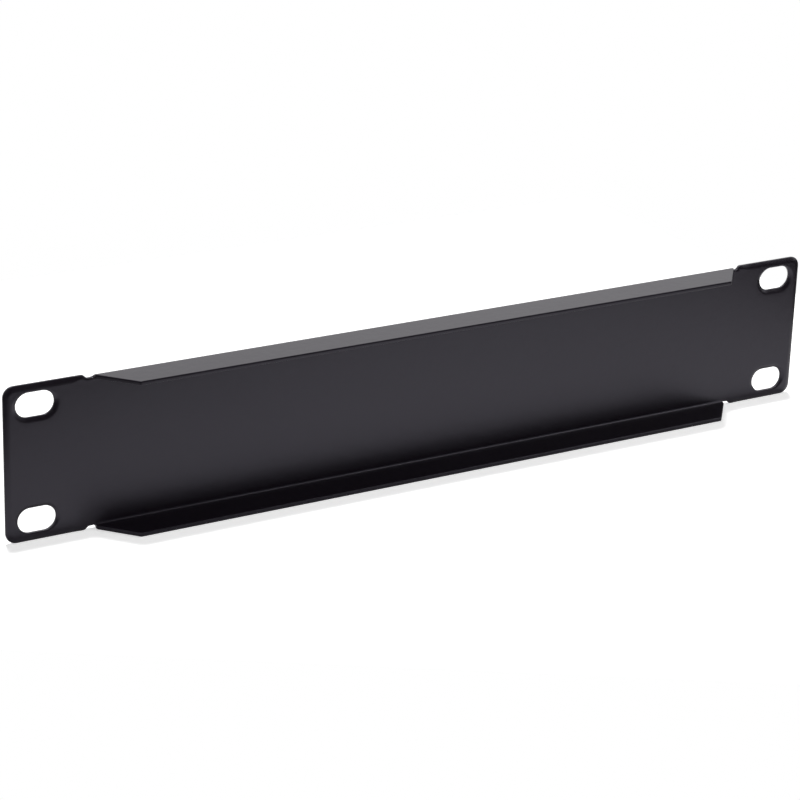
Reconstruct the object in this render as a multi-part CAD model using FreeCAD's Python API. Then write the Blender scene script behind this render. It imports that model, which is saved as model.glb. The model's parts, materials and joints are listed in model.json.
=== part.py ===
import FreeCAD, Part
import math
import os

# Blanking panel for a ten-inch rack, one unit high: one steel sheet, folded once along its top and
# once along its bottom, so that two flanges stand out behind the face. The folds stop short of both
# ends, where the sheet stays flat and forms the ears that are bolted to the rack.
#
# X runs along the panel, Z is up, the smooth front looks towards -Y and the flanges reach to +Y.
# The origin is the centre of the four bolt slots, on the rear face of the ears.

# The rack, in millimetres: one unit's height, the panel's width, the bolt holes' distance from the
# unit's upper and lower limits and from the panel's ends, and the gap left to the next panel
unit_height = 44.45
panel_width = 254.0
slot_inset_height = 6.35
slot_inset_width = 8.7375
panel_clearance = 1.45

# Sheet, ears and bolt slots
sheet_thickness = 1.2
ear_width = 25.0
ear_corner_radius = 3.0
slot_length = 10.7
slot_height = 6.8

# Folds and flanges: the depth runs from the front face to the free edge, and the chamfer is the
# length that each end of a flange loses between the bend and the free edge
bend_inner_radius = 0.7
flange_depth = 11.7
flange_chamfer = 8.2
flange_corner_radius = 0.8

# Relief beside each end of a fold: upright along the flange's end, with a level bottom this deep
# below the ear's edge, and a side that slants out to the ear
relief_depth = 1.0
relief_bottom_width = 1.85
relief_slant_width = 1.05
relief_corner_radius = 1.0

# Edges of the cut blank: the roll-over of the rear skin, where the punch went in, and the small
# bevel of the front skin, where the burr was taken off
roll_over_radius = 0.25
burr_bevel_width = 0.12

# Places that follow from the sizes
front_y = -sheet_thickness
rear_y = 0.0
bend_end_y = rear_y + bend_inner_radius
free_edge_y = front_y + flange_depth
bend_outer_radius = bend_inner_radius + sheet_thickness
half_width = panel_width / 2
half_height = (unit_height - panel_clearance) / 2
inner_half_height = half_height - sheet_thickness
half_fold = half_width - ear_width
half_free_edge = half_fold - flange_chamfer
slot_x = half_width - slot_inset_width
slot_z = unit_height / 2 - slot_inset_height

same_place = 1e-6


def on_face(x, z, y):
    """Point of an outline seen from the front, at a place along Y."""
    return FreeCAD.Vector(x, y, z)


def on_end(y, z, x):
    """Point of an outline seen from one end, at a place along X."""
    return FreeCAD.Vector(x, y, z)


def on_plan(x, y, z):
    """Point of an outline seen from above, at a height along Z."""
    return FreeCAD.Vector(x, y, z)


def corner_arc(before, here, after, radius):
    """Start, middle and end of the arc that rounds the corner between two straight sides."""
    back = (before - here).normalize()
    ahead = (after - here).normalize()
    half_angle = back.getAngle(ahead) / 2
    setback = radius / math.tan(half_angle)
    middle = here + (back + ahead).normalize() * (radius / math.sin(half_angle) - radius)
    return here + back * setback, middle, here + ahead * setback


def prism(view, corners, start, end):
    """Solid of an outline of corners (u, v, radius), carried straight from one place to another."""
    points = [view(u, v, start) for u, v, _ in corners]
    arcs = []
    for index, (_, _, radius) in enumerate(corners):
        following = points[(index + 1) % len(points)]
        arcs.append(corner_arc(points[index - 1], points[index], following, radius))
    edges = []
    for index, (arc_start, middle, arc_end) in enumerate(arcs):
        if corners[index][2] > 0:
            edges.append(Part.Arc(arc_start, middle, arc_end).toShape())
        next_start = arcs[(index + 1) % len(arcs)][0]
        if not arc_end.isEqual(next_start, same_place):
            edges.append(Part.makeLine(arc_end, next_start))
    along = view(0, 0, end) - view(0, 0, start)
    return Part.Face(Part.Wire(edges)).extrude(along)


def rectangle(x, z, half_length, half_rise, radius):
    """Corners of a rectangle about a middle, all rounded alike."""
    signs = ((-1, -1), (1, -1), (1, 1), (-1, 1))
    return [(x + across * half_length, z + up * half_rise, radius) for across, up in signs]


def through_sheet(corners):
    """Prism of an outline on the face, through the flat sheet."""
    return prism(on_face, corners, front_y, rear_y)


def punched(sheet, corners):
    """The sheet, cut by an outline in the upper right quarter and by its mirror images."""
    for side in (-1, 1):
        for level in (-1, 1):
            mirrored = [(side * x, level * z, radius) for x, z, radius in corners]
            sheet = sheet.cut(through_sheet(mirrored))
    return sheet


def edges_at(shape, axis, places, kept_axis, kept_places):
    """Edges that lie whole at one of the places along an axis, and at no kept place along another."""
    def lies_at(edge, along, levels):
        low = getattr(edge.BoundBox, along + "Min")
        high = getattr(edge.BoundBox, along + "Max")
        return any(abs(low - level) < same_place and abs(high - level) < same_place for level in levels)

    return [edge for edge in shape.Edges
            if lies_at(edge, axis, places) and not lies_at(edge, kept_axis, kept_places)]


def softened(sheet, axis, rear_skin, front_skin, kept_axis, kept_places):
    """The sheet with its cut edges rolled over on the rear skin and bevelled on the front skin."""
    rear_edges = edges_at(sheet, axis, rear_skin, kept_axis, kept_places)
    rolled = sheet.makeFillet(roll_over_radius, rear_edges)
    front_edges = edges_at(rolled, axis, front_skin, kept_axis, kept_places)
    return rolled.makeChamfer(burr_bevel_width, front_edges)


def relief_outline():
    """Relief at the upper right end of a fold, open above the ear's edge."""
    bottom_end_x = half_fold + relief_bottom_width
    return [
        (half_fold, half_height - relief_depth, 0),
        (bottom_end_x, half_height - relief_depth, relief_corner_radius),
        (bottom_end_x + 2 * relief_slant_width, half_height + relief_depth, 0),
        (half_fold, half_height + relief_depth, 0),
    ]


def flat_ears():
    """Both ears: the ends of the rounded sheet, with their slots and fold reliefs."""
    sheet = through_sheet(rectangle(0, 0, half_width, half_height, ear_corner_radius))
    middle = through_sheet(rectangle(0, 0, half_fold, half_height, 0))
    ears = punched(sheet.cut(middle), relief_outline())
    ears = punched(ears, rectangle(slot_x, slot_z, slot_length / 2, slot_height / 2, slot_height / 2))
    joins = (-half_fold, half_fold)
    return [softened(ear, "Y", (rear_y,), (front_y,), "X", joins) for ear in ears.Solids]


def folded_middle():
    """The channel between the ears: the folded section, with its flanges trimmed in plan."""
    outside = prism(on_end, [
        (front_y, -half_height, bend_outer_radius),
        (free_edge_y, -half_height, 0),
        (free_edge_y, half_height, 0),
        (front_y, half_height, bend_outer_radius),
    ], -half_fold, half_fold)
    inside = prism(on_end, [
        (rear_y, -inner_half_height, bend_inner_radius),
        (free_edge_y, -inner_half_height, 0),
        (free_edge_y, inner_half_height, 0),
        (rear_y, inner_half_height, bend_inner_radius),
    ], -half_fold, half_fold)
    trimmed_plan = prism(on_plan, [
        (-half_fold, front_y, 0),
        (half_fold, front_y, 0),
        (half_fold, bend_end_y, 0),
        (half_free_edge, free_edge_y, flange_corner_radius),
        (-half_free_edge, free_edge_y, flange_corner_radius),
        (-half_fold, bend_end_y, 0),
    ], -half_height, half_height)
    channel = outside.cut(inside).common(trimmed_plan)
    outer_skins = (-half_height, half_height)
    inner_skins = (-inner_half_height, inner_half_height)
    return softened(channel, "Z", inner_skins, outer_skins, "Y", (bend_end_y,))


def blanking_panel():
    """The whole folded sheet as one solid."""
    return folded_middle().fuse(flat_ears()).removeSplitter()


if __name__ == "__main__":
    os.makedirs("parts", exist_ok=True)
    blanking_panel().exportStep("parts/blanking_panel.step")
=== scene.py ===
import json
import math

import bmesh
import bpy
import numpy as np
from mathutils import Matrix, Vector


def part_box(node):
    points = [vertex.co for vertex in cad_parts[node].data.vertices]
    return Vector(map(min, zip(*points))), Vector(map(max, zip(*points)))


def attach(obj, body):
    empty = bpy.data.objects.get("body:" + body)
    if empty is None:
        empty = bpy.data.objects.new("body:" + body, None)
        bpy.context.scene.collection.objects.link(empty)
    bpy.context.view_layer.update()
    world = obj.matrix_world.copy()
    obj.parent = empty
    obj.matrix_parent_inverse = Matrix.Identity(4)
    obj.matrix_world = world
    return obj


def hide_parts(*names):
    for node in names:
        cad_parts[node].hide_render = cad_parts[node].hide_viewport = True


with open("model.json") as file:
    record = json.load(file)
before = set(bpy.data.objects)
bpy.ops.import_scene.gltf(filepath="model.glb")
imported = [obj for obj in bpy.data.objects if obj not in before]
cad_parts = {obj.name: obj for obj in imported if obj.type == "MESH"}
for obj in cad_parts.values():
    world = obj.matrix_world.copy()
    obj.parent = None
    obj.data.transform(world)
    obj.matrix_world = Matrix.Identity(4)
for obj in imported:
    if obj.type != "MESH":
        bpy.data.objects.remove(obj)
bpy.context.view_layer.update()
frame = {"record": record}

# Blanking panel for a ten-inch rack: one steel sheet, cut flat, folded along its top and bottom and
# powder coated black. The sheet is worked out as its flat blank and then folded by a formula.
# X runs along the panel, Z is up and the flanges reach to +Y. Lengths are in metres.

mm = 0.001

# Sizes that the frame holds
panel_low, panel_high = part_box("blanking_panel")
mounts = {mount["name"]: mount for mount in frame["record"]["mounts"]}
slot_sizes = mounts["rack_bolts"]["dims"]
half_width = panel_high.x
half_height = panel_high.z
free_edge_y = panel_high.y
sheet_thickness = -panel_low.y
slot_x = slot_sizes["spacing_x_mm"] / 2 * mm
slot_z = slot_sizes["spacing_y_mm"] / 2 * mm
slot_radius = slot_sizes["hole_r_mm"] * mm
slot_half_straight = slot_sizes["slot_length_mm"] / 2 * mm - slot_radius

# Fold, flanges and reliefs, as on the solid
ear_width = 25.0 * mm
flange_chamfer = 8.2 * mm
bend_inner_radius = 0.7 * mm
flange_corner_radius = 0.8 * mm
relief_depth = 1.0 * mm
relief_bottom_width = 1.85 * mm
relief_slant_width = 1.05 * mm
relief_corner_radius = 1.0 * mm
ear_corner_radius = 3.0 * mm

# Beside the relief the fold runs out into the flat ear over this length
fold_easing = 0.9 * mm

# Cut edges: the punch pulled the rear skin down beside each cut, and past the middle of the sheet
# the cut broke at a slant. The coat rounds what is sharp.
roll_over_radius = 0.25 * mm
roll_over_slope = 0.44
break_start = 0.66 * sheet_thickness
break_angle = math.radians(12)
front_edge_radius = 0.12 * mm
flange_end_radius = 0.6 * mm
notch_corner_radius = 0.3 * mm
ear_notch_radius = 1.25 * mm

# Rim of rear skin that dips towards a cut: its width, and the share of it that curves before it
# falls straight. It is narrow along the flange, wider at the relief and widest along the ear. On a
# slot it is narrow on the side of the ear's edge and wide on the side of the panel's middle.
flange_rim = 0.45 * mm
relief_rim = 1.1 * mm
ear_rim_width = 1.72 * mm
outline_curve_share = 0.85
slot_outer_rim = 0.45 * mm
slot_inner_rim = 1.5 * mm
slot_curve_share = 0.6

# Places along x between which the rim widens, from the fold's end and from the ear's start
relief_rim_start = 1.0 * mm
ear_rim_start = 0.5 * mm
ear_rim_end = 3.5 * mm

# Longest steps along the outline: the flange's free edge and chamfered end, the relief's upright
# side, bottom and slant, and the ear's edge and end
outline_pitches = [4.0 * mm, 1.0 * mm, 0.1 * mm, 0.15 * mm, 0.25 * mm, 0.2 * mm, 0.5 * mm]
outline_turn_step = math.radians(7)
bend_pitch = 0.1 * mm
bend_margin = 0.3 * mm
face_pitch = 1.2 * mm
ear_pitch = 1.0 * mm

# Places that follow from the sizes, with s along the flat blank from the middle of the face
half_fold = half_width - ear_width
half_free_edge = half_fold - flange_chamfer
ear_start = half_fold + relief_bottom_width + relief_slant_width
bend_middle_radius = bend_inner_radius + sheet_thickness / 2
bend_start = half_height - sheet_thickness - bend_inner_radius
bend_end = bend_start + bend_middle_radius * math.pi / 2
relief_bottom = half_height - relief_depth
blank_edge = bend_end + free_edge_y - bend_inner_radius


def smooth_step(value, start, end):
    """0 before start, 1 after end, and 3t^2 - 2t^3 of the share t of the way in between."""
    share = np.clip((value - start) / (end - start), 0, 1)
    return share * share * (3 - 2 * share)


def folded(x, s, depth):
    """Point of the sheet at x along the panel, s along the flat blank and depth below the rear skin.

    Past bend_start the sheet turns by angle = (s - bend_start) / bend_middle_radius, up to a right
    angle, and runs on straight. A point at that depth is (inner radius + depth) from the bend's
    axis. Beyond the fold's end the sheet is flat: it eases from folded to flat along the relief.
    """
    past = s - bend_start
    angle = np.clip(past / bend_middle_radius, 0, math.pi / 2)
    straight = np.maximum(s - bend_end, 0)
    reach = bend_inner_radius + depth
    fold_y = bend_inner_radius - reach * np.cos(angle) + straight
    fold_z = np.minimum(s, bend_start) + reach * np.sin(angle)
    flat = smooth_step(x, half_fold, half_fold + fold_easing)
    y = fold_y + flat * (-depth - fold_y)
    z = fold_z + flat * (s - fold_z)
    return np.stack(np.broadcast_arrays(x, y, z), axis=-1)


def unit(vector):
    return vector / np.linalg.norm(vector)


def traced(corners, pitches, turn_step):
    """Points along the straight runs between rounded corners (x, s, radius), and each run's start.

    A run is cut into even steps no longer than its pitch. A corner is an arc about a centre on the
    bisector, at radius / sin(half the corner's angle) from the corner, in even steps of turn.
    """
    places = [np.array(corner[:2]) for corner in corners]
    pieces = []
    starts = []
    here = places[0]
    for index, pitch in enumerate(pitches):
        corner = places[index + 1]
        back = unit(here - corner)
        last = index + 2 == len(corners)
        radius = 0.0 if last else corners[index + 1][2]
        ahead = -back if last else unit(places[index + 2] - corner)
        half_angle = np.arccos(np.clip(back @ ahead, -1, 1)) / 2
        setback = 0.0 if last else radius / math.tan(half_angle)
        run_end = corner + back * setback
        steps = max(1, math.ceil(np.linalg.norm(run_end - here) / pitch))
        starts.append(sum(map(len, pieces)))
        pieces.append(here + np.linspace(0, 1, steps + 1)[:-1, None] * (run_end - here))
        if last:
            pieces.append(corner[None])
            break
        centre = corner + unit(back + ahead) * radius / math.sin(half_angle)
        begin = run_end - centre
        sweep = math.pi - 2 * half_angle
        turns = np.linspace(0, sweep, max(2, math.ceil(sweep / turn_step)) + 1)[:-1, None]
        sideways = back * -radius
        starts.append(sum(map(len, pieces)))
        pieces.append(centre + begin * np.cos(turns) + sideways * np.sin(turns))
        here = corner + ahead * setback
    return np.concatenate(pieces), starts


def inward(path):
    """Offset direction at each point of a path that has the sheet on its right: the mitre of the
    two neighbouring segments' normals, (n1 + n2) / (1 + n1 . n2)."""
    along = np.diff(path, axis=0)
    along = along / np.linalg.norm(along, axis=1, keepdims=True)
    normal = np.stack([along[:, 1], -along[:, 0]], axis=-1)
    before = np.concatenate([normal[:1], normal])
    after = np.concatenate([normal, normal[-1:]])
    return (before + after) / (1 + np.sum(before * after, axis=1, keepdims=True))


def edge_profile(width, curve_share):
    """Distance from the cut and depth below the rear skin, across a cut edge with a rim this wide.

    With u the share of the rim's width from its inner line, the rear skin dips as
    slope * u^2 / (2 * curve_share), and from u = curve_share on it falls straight at that slope.
    It turns down in an arc of the roll-over radius, runs straight down the cut, then at the
    break's slant, and turns onto the front skin in a small arc. Points close beside the break's
    two ends keep its shading flat.
    """
    width = np.asarray(width)[..., None]
    first_turn = math.atan(roll_over_slope)
    dip_end = roll_over_radius * (1 - math.sin(first_turn))
    rim = width - dip_end
    share = np.concatenate([np.linspace(0, curve_share, 5), np.linspace(curve_share, 1, 4)[1:]])
    dip_distance = width - share * rim
    curved = np.minimum(share, curve_share)
    fallen = curved ** 2 / (2 * curve_share) + (share - curved)
    dip_depth = roll_over_slope * fallen * rim
    turn = np.linspace(first_turn, math.pi / 2, 7)[1:]
    arc_middle = dip_depth[..., -1:] + roll_over_radius * math.cos(first_turn)
    arc_distance = roll_over_radius * (1 - np.sin(turn)) + 0 * rim
    arc_depth = arc_middle - roll_over_radius * np.cos(turn)
    break_end = sheet_thickness - front_edge_radius * (1 - math.sin(break_angle))
    break_depth = break_end - break_start
    break_width = break_depth * math.tan(break_angle)
    beside = 0.08
    wall_distance = np.array([0, 0, beside, 1 - beside]) * break_width + 0 * rim
    wall_depth = break_start + np.array([-beside, 0, beside, 1 - beside]) * break_depth + 0 * rim
    turn = np.linspace(break_angle, math.pi / 2, 5)
    front_middle = break_width + front_edge_radius * math.cos(break_angle)
    front_distance = front_middle - front_edge_radius * np.cos(turn) + 0 * rim
    front_depth = sheet_thickness - front_edge_radius * (1 - np.sin(turn)) + 0 * rim
    skin_share = np.array([0.35, 1.0])
    skin_distance = front_middle + (width - front_middle) * skin_share
    skin_depth = sheet_thickness + 0 * skin_distance
    distance = [dip_distance, arc_distance, wall_distance, front_distance, skin_distance]
    depth = [dip_depth, arc_depth, wall_depth, front_depth, skin_depth]
    return np.concatenate(distance, axis=-1), np.concatenate(depth, axis=-1)


def grid_faces(rows, columns, first):
    """Corner numbers of the four-sided faces of a grid whose points are numbered row by row."""
    row, column = np.meshgrid(np.arange(rows - 1), np.arange(columns - 1), indexing="ij")
    corner = (first + row * columns + column).ravel()
    return np.stack([corner, corner + 1, corner + columns + 1, corner + columns], axis=-1)


def quarter_grids():
    """Grids of points that together cover the upper right quarter of the sheet, skins and edges."""
    corners = [
        (0.0, blank_edge, 0.0),
        (half_free_edge, blank_edge, flange_corner_radius),
        (half_fold, bend_end, flange_end_radius),
        (half_fold, relief_bottom, notch_corner_radius),
        (half_fold + relief_bottom_width, relief_bottom, relief_corner_radius),
        (ear_start, half_height, ear_notch_radius),
        (half_width, half_height, ear_corner_radius),
        (half_width, 0.0, 0.0),
    ]
    path, starts = traced(corners, outline_pitches, outline_turn_step)
    flange_turn = starts[1]
    relief_corner_end = starts[6]
    relief_share = smooth_step(path[:, 0], half_fold + relief_rim_start, ear_start)
    ear_share = smooth_step(path[:, 0], ear_start + ear_rim_start, ear_start + ear_rim_end)
    width = flange_rim + (relief_rim - flange_rim) * relief_share
    width = width + (ear_rim_width - relief_rim) * ear_share
    direction = inward(path)

    distance, depth = edge_profile(width, outline_curve_share)
    rim = path[:, None] + direction[:, None] * distance[..., None]
    grids = [folded(rim[..., 0], rim[..., 1], depth)]

    # The channel: each row of the grid runs from the middle of the panel to the rim's inner line
    inner = path + direction * width[:, None]
    corner_x, corner_s = inner[relief_corner_end]
    near_bend = np.arange(corner_s - bend_pitch, bend_start - bend_margin, -bend_pitch)
    steps = math.ceil(near_bend[-1] / face_pitch)
    levels = np.concatenate([near_bend, np.linspace(near_bend[-1], 0, steps + 1)[1:]])
    join = np.stack([np.full(len(levels), corner_x), levels], axis=-1)
    row_ends = np.concatenate([inner[flange_turn:relief_corner_end + 1], join])
    share = inner[:flange_turn + 1, 0] / inner[flange_turn, 0]
    for skin in (0.0, sheet_thickness):
        grids.append(folded(share * row_ends[:, :1], row_ends[:, 1:], skin))

    # The ear: each column of the grid runs straight out from the slot's edge to the ear's rim,
    # from the front skin through the slot to the rear skin
    ear_rim = inner[relief_corner_end:]
    steps = math.ceil((ear_rim[-1, 0] - corner_x) / ear_pitch)
    middle_x = np.linspace(ear_rim[-1, 0], corner_x, steps + 1)[1:]
    middle = np.stack([middle_x, np.zeros(len(middle_x))], axis=-1)
    ear_loop = np.concatenate([ear_rim, middle, join[::-1], ear_rim[:1]])
    foot_x = np.clip(ear_loop[:, 0], slot_x - slot_half_straight, slot_x + slot_half_straight)
    foot = np.stack([foot_x, np.full(len(foot_x), slot_z)], axis=-1)
    away = ear_loop - foot
    reach = np.linalg.norm(away, axis=1, keepdims=True)
    away = away / reach
    towards_edge = smooth_step(away[:, 1], 0.0, 1.0)
    slot_rim = slot_inner_rim + (slot_outer_rim - slot_inner_rim) * towards_edge
    edge_distance, edge_depth = edge_profile(slot_rim, slot_curve_share)
    closer_outwards = np.array([0.12, 0.3, 0.5, 0.7, 0.85, 0.94, 0.98, 1.0])
    skin_start = slot_radius + slot_rim[:, None]
    outward = skin_start + (reach - skin_start) * closer_outwards
    radii = np.concatenate([outward[:, ::-1], slot_radius + edge_distance, outward], axis=1)
    depths = np.concatenate([0 * outward, edge_depth, 0 * outward + sheet_thickness], axis=1)
    slot = foot[:, None] + away[:, None] * radii[..., None]
    grids.append(folded(slot[..., 0], slot[..., 1], depths))
    return grids


def joined(name, grids):
    """One closed mesh of a quarter's grids and their mirror images, with its seams merged."""
    seam_gap = 1e-3 * mm
    sliver_width = 1e-4 * mm
    points = []
    faces = []
    count = 0
    for across in (1, -1):
        for up in (1, -1):
            for grid in grids:
                rows, columns = grid.shape[:2]
                points.append(grid.reshape(-1, 3) * (across, 1, up))
                faces.append(grid_faces(rows, columns, count))
                count += rows * columns
    mesh = bpy.data.meshes.new(name)
    mesh.from_pydata(np.concatenate(points), [], np.concatenate(faces))
    shell = bmesh.new()
    shell.from_mesh(mesh)
    bmesh.ops.remove_doubles(shell, verts=shell.verts, dist=seam_gap)
    bmesh.ops.dissolve_degenerate(shell, edges=shell.edges, dist=sliver_width)
    bmesh.ops.recalc_face_normals(shell, faces=shell.faces)
    shell.to_mesh(mesh)
    shell.free()
    mesh.polygons.foreach_set("use_smooth", np.ones(len(mesh.polygons), bool))
    piece = bpy.data.objects.new(name, mesh)
    bpy.context.scene.collection.objects.link(piece)
    return piece


class Shade:
    """A socket of a node tree. Sums and products of sockets and numbers add Math nodes, and make()
    adds any other node."""

    def __init__(self, tree, socket=None):
        self.tree = tree
        self.socket = socket

    def make(self, kind, settings=None, sockets=None, output=0):
        """A new node of this type: its settings are set first, then its sockets' values or links."""
        node = self.tree.nodes.new(kind)
        for name, value in (settings or {}).items():
            setattr(node, name, value)
        for name, value in (sockets or {}).items():
            if isinstance(value, Shade):
                self.tree.links.new(value.socket, node.inputs[name])
            else:
                node.inputs[name].default_value = value
        return Shade(self.tree, node.outputs[output] if node.outputs else None)

    def math(self, operation, first, second):
        return self.make("ShaderNodeMath", {"operation": operation}, {0: first, 1: second})

    def __add__(self, other):
        return self.math("ADD", self, other)

    __radd__ = __add__

    def __mul__(self, other):
        return self.math("MULTIPLY", self, other)

    __rmul__ = __mul__

    def mix(self, first, second):
        """Colour from first to second as this value goes from 0 to 1. The Mix node's colour
        sockets are its inputs 6 and 7 and its output 2."""
        return self.make("ShaderNodeMix", {"data_type": "RGBA"}, {0: self, 6: first, 7: second}, 2)


def new_material(name):
    material = bpy.data.materials.new(name)
    material.use_nodes = True
    material.node_tree.nodes.clear()
    return material, Shade(material.node_tree)


def black_powder_coat():
    """Satin black powder coat: fine grains, a slight orange peel and soft changes of gloss."""
    deep_black = (0.0058, 0.0038, 0.0066, 1)
    pale_black = (0.0086, 0.0062, 0.0098, 1)
    sheen_tint = (0.88, 0.85, 1.0, 1)
    material, shade = new_material("black_powder_coat")
    place = shade.make("ShaderNodeTexCoord", output="Object")

    def noise(size, detail):
        """Noise whose grains are about this wide, from 0 to 1."""
        return shade.make("ShaderNodeTexNoise", None, {
            "Vector": place, "Scale": 1 / size, "Detail": detail})

    grain = noise(0.35 * mm, 2.0)
    peel = noise(2.2 * mm, 1.0)
    cloud = noise(38.0 * mm, 2.0)
    colour = cloud.mix(deep_black, pale_black)
    roughness = 0.28 + 0.05 * cloud + 0.04 * grain
    height = grain + 2.2 * peel
    bump = shade.make("ShaderNodeBump", None, {
        "Strength": 0.7, "Distance": 0.02 * mm, "Height": height})
    coat = shade.make("ShaderNodeBsdfPrincipled", None, {
        "Base Color": colour, "Roughness": roughness, "Normal": bump,
        "Specular IOR Level": 0.46, "Specular Tint": sheen_tint})
    shade.make("ShaderNodeOutputMaterial", None, {"Surface": coat})
    return material


def ray_kinds(shade):
    """Whether a ray comes from the camera, from a reflection or from inside clear matter."""
    names = ("Is Camera Ray", "Is Glossy Ray", "Is Transmission Ray")
    return [shade.make("ShaderNodeLightPath", output=name) for name in names]


def studio_floor():
    """A small pale floor just under the panel, white where no shadow falls. Its own glow is there
    for the camera, which keeps the shadow soft, and a little of it for reflections. One corner is
    cut off on the side of the flanges, so that the ear there has less to reflect at its top."""
    camera_glow = 0.5
    reflected_glow = 0.06
    z = panel_low.z - 0.02 * mm
    outline = [(-0.189, -0.2), (0.2, -0.2), (0.2, 0.024), (-0.071, 0.2), (-0.189, 0.2)]
    mesh = bpy.data.meshes.new("floor")
    mesh.from_pydata([(x, y, z) for x, y in outline], [], [range(len(outline))])
    floor = bpy.data.objects.new("floor", mesh)
    bpy.context.scene.collection.objects.link(floor)
    material, shade = new_material("pale_floor")
    camera, glossy, transmission = ray_kinds(shade)
    glow = camera_glow * camera + reflected_glow * (glossy + transmission)
    surface = shade.make("ShaderNodeBsdfPrincipled", None, {
        "Base Color": (0.9, 0.9, 0.9, 1), "Roughness": 0.9, "Specular IOR Level": 0.0,
        "Emission Color": (1, 1, 1, 1), "Emission Strength": glow})
    shade.make("ShaderNodeOutputMaterial", None, {"Surface": surface})
    mesh.materials.append(material)


def studio_world():
    """White to the camera. Reflections show it white behind the panel and dim on the side of the
    flanges, and it lights nothing else."""
    world = bpy.data.worlds.new("studio")
    world.use_nodes = True
    world.node_tree.nodes.clear()
    shade = Shade(world.node_tree)
    direction = shade.make("ShaderNodeTexCoord", output="Generated")
    y = shade.make("ShaderNodeSeparateXYZ", None, {"Vector": direction}, output="Y")
    dim = shade.make("ShaderNodeMapRange", {"interpolation_type": "SMOOTHSTEP"}, {
        "Value": y, "From Min": -0.55, "From Max": 0.15, "To Min": 1.06, "To Max": 0.03})
    camera, glossy, transmission = ray_kinds(shade)
    strength = camera + (glossy + transmission) * dim
    background = shade.make("ShaderNodeBackground", None, {
        "Color": (1, 1, 1, 1), "Strength": strength})
    shade.make("ShaderNodeOutputWorld", None, {"Surface": background})
    bpy.context.scene.world = world


def hang(light, place, aim):
    """A lamp with this light at a place, turned to shine at a point."""
    lamp = bpy.data.objects.new(light.name, light)
    lamp.location = place
    lamp.rotation_mode = "QUATERNION"
    lamp.rotation_quaternion = (Vector(aim) - Vector(place)).to_track_quat("-Z", "Y")
    bpy.context.scene.collection.objects.link(lamp)


def far_lamp(name, place, spread, strength):
    """Even light from this side over everything, as wide to the eye as this spread. A white
    surface square to it is as bright as white itself at strength pi."""
    light = bpy.data.lights.new(name, "SUN")
    light.angle = spread
    light.energy = strength
    hang(light, place, (0, 0, 0))


def soft_box(name, place, size, power):
    """A square soft lamp that shines at the panel."""
    light = bpy.data.lights.new(name, "AREA")
    light.shape = "SQUARE"
    light.size = size
    light.energy = power
    hang(light, place, (0, 0, 0))


def soft_spot(name, place, aim, cone, radius, power):
    """A round lamp whose light fades out evenly from the middle of its cone."""
    light = bpy.data.lights.new(name, "SPOT")
    light.spot_size = cone
    light.spot_blend = 1.0
    light.shadow_soft_size = radius
    light.energy = power
    hang(light, place, aim)


def photo_camera():
    """Camera at the photo's viewing angle, aimed a little beside the middle of the panel."""
    azimuth = math.radians(148.56)
    elevation = math.radians(20.57)
    roll = math.radians(1.78)
    distance = 0.7609
    aim_right = -0.00877
    aim_up = -0.00257
    back = Vector((math.sin(azimuth) * math.cos(elevation),
                   -math.cos(azimuth) * math.cos(elevation),
                   math.sin(elevation)))
    level_right = Vector((0, 0, 1)).cross(back).normalized()
    level_up = back.cross(level_right)
    right = level_right * math.cos(roll) + level_up * math.sin(roll)
    up = level_up * math.cos(roll) - level_right * math.sin(roll)
    place = back * distance + right * aim_right + up * aim_up
    data = bpy.data.cameras.new("photo_camera")
    data.sensor_width = 36.0
    data.lens = 123.94
    camera = bpy.data.objects.new("photo_camera", data)
    turned = Matrix((right, up, back)).transposed().to_4x4()
    camera.matrix_world = Matrix.Translation(place) @ turned
    bpy.context.scene.collection.objects.link(camera)
    bpy.context.scene.camera = camera


panel = joined("coated_panel", quarter_grids())
panel.data.materials.append(black_powder_coat())
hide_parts("blanking_panel")
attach(panel, "root")

studio_floor()
studio_world()
# From a little behind straight up: the upper flange shades the floor in front of the lower one
far_lamp("top_lamp", (-0.05, -0.14, 0.99), math.radians(5), 0.74 * math.pi)
# From the viewer's side, left and right of the view
soft_box("key_lamp", (1.3, 1.3, 1.5), 2.0, 15.0)
soft_box("fill_lamp", (-1.9, 0.7, 0.9), 1.4, 13.0)
# Seen as the fine bright line in the lower bend
soft_box("crease_lamp", (-0.8, 0.5, 1.15), 0.5, 2.5)
# Pool of light on the floor that the middle of the face reflects
pool = (-0.03, 0.055, panel_low.z)
soft_spot("floor_spot", (-0.03, -0.2, 1.6), pool, math.radians(14), 0.08, 32.0)
photo_camera()
bpy.context.scene.view_settings.view_transform = "Standard"
